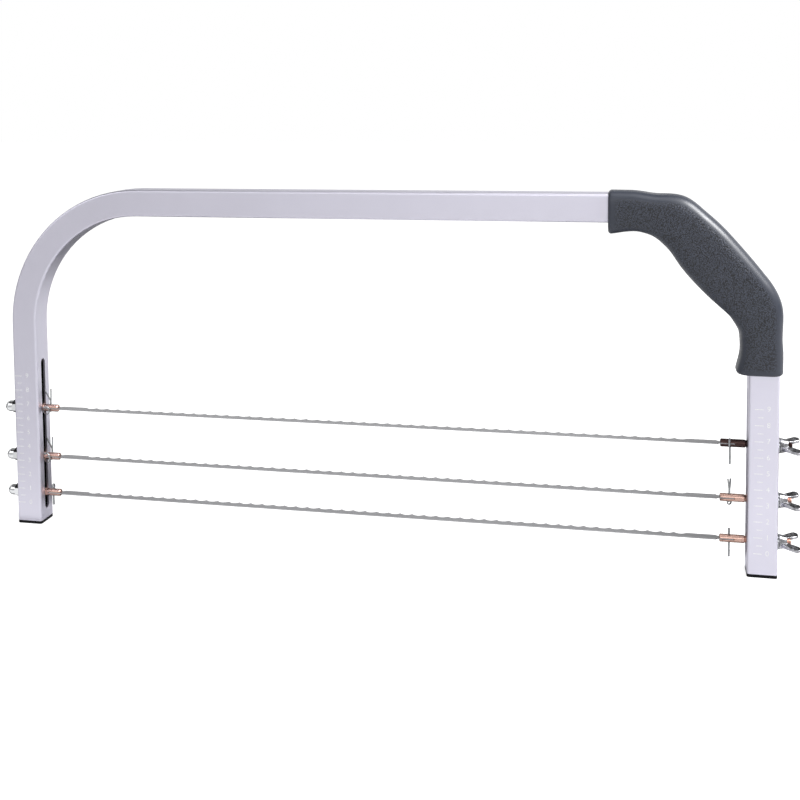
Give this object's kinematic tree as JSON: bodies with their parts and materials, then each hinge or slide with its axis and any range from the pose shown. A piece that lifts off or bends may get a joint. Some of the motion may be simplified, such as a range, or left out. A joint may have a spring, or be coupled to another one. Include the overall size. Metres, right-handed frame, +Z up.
{
  "type": "cake leveler",
  "caption": "Bow of bent square tube with a moulded corner grip and serrated blades that slide up and down between two slotted legs.",
  "frame": {"origin": "on the plane that the feet stand on, in the middle of the whole part's box", "axes": "+Z up, X along the blades with the grip at +X, Y the depth; the scale marks are on the -Y faces of the legs"},
  "size_m": [0.5346, 0.0294, 0.2377],
  "materials": {
    "frame_metal": "satin",
    "grip_plastic": "pebbled matte",
    "cap_plastic": "matte",
    "blade_steel": "ground and brushed",
    "copper_plate": "copper-plated steel thread",
    "pin_steel": "drawn wire",
    "bright_plate": "bright plated",
    "screw_steel": "satin"
  },
  "bodies": {
    "bow": {"frame_tube": "frame_metal", "left_foot_cap": "cap_plastic", "right_foot_cap": "cap_plastic", "handle_front_shell": "grip_plastic", "handle_rear_shell": "grip_plastic", "handle_screws": "screw_steel"},
    "lower_blade_unit": {"lower_blade": "blade_steel", "lower_left_rod": "copper_plate", "lower_right_rod": "copper_plate", "lower_left_cotter_pin": "pin_steel", "lower_right_cotter_pin": "pin_steel", "lower_left_washer": "bright_plate", "lower_acorn_nut": "bright_plate"},
    "lower_washer": {"lower_right_washer": "bright_plate"},
    "lower_nut": {"lower_wing_nut": "bright_plate"},
    "middle_blade_unit": {"middle_blade": "blade_steel", "middle_left_rod": "copper_plate", "middle_right_rod": "copper_plate", "middle_left_cotter_pin": "pin_steel", "middle_right_cotter_pin": "pin_steel", "middle_left_washer": "bright_plate", "middle_acorn_nut": "bright_plate"},
    "middle_washer": {"middle_right_washer": "bright_plate"},
    "middle_nut": {"middle_wing_nut": "bright_plate"},
    "upper_blade_unit": {"upper_blade": "blade_steel", "upper_left_rod": "copper_plate", "upper_right_rod": "copper_plate", "upper_left_cotter_pin": "pin_steel", "upper_right_cotter_pin": "pin_steel", "upper_left_washer": "bright_plate", "upper_acorn_nut": "bright_plate"},
    "upper_washer": {"upper_right_washer": "bright_plate"},
    "upper_nut": {"upper_wing_nut": "bright_plate"}
  },
  "joints": [
    {"name": "lower_height", "type": "slide", "parent": "bow", "child": "lower_blade_unit", "axis": [0, 0, 1], "range_m": [-0.0085, 0.0025]},
    {"name": "lower_nut_travel", "type": "slide", "parent": "lower_blade_unit", "child": "lower_washer", "axis": [1, 0, 0], "range_m": [0, 0.0024]},
    {"name": "lower_nut_turn", "type": "hinge", "parent": "lower_washer", "child": "lower_nut", "pos_m": [0.2549, 0, 0.0205], "axis": [1, 0, 0], "range_deg": [0, 1080]},
    {"name": "middle_height", "type": "slide", "parent": "bow", "child": "middle_blade_unit", "axis": [0, 0, 1], "range_m": [-0.003, 0.004]},
    {"name": "middle_nut_travel", "type": "slide", "parent": "middle_blade_unit", "child": "middle_washer", "axis": [1, 0, 0], "range_m": [0, 0.0024]},
    {"name": "middle_nut_turn", "type": "hinge", "parent": "middle_washer", "child": "middle_nut", "pos_m": [0.2549, 0, 0.0465], "axis": [1, 0, 0], "range_deg": [0, 1080]},
    {"name": "upper_height", "type": "slide", "parent": "bow", "child": "upper_blade_unit", "axis": [0, 0, 1], "range_m": [-0.0035, 0.032]},
    {"name": "upper_nut_travel", "type": "slide", "parent": "upper_blade_unit", "child": "upper_washer", "axis": [1, 0, 0], "range_m": [0, 0.0024]},
    {"name": "upper_nut_turn", "type": "hinge", "parent": "upper_washer", "child": "upper_nut", "pos_m": [0.2549, 0, 0.081], "axis": [1, 0, 0], "range_deg": [0, 1080]}
  ],
  "couplings": [
    {"joint": "lower_nut_travel", "follows": "lower_nut_turn", "m_per_rad": 0.00012732},
    {"joint": "middle_nut_travel", "follows": "middle_nut_turn", "m_per_rad": 0.00012732},
    {"joint": "upper_nut_travel", "follows": "upper_nut_turn", "m_per_rad": 0.00012732}
  ]
}
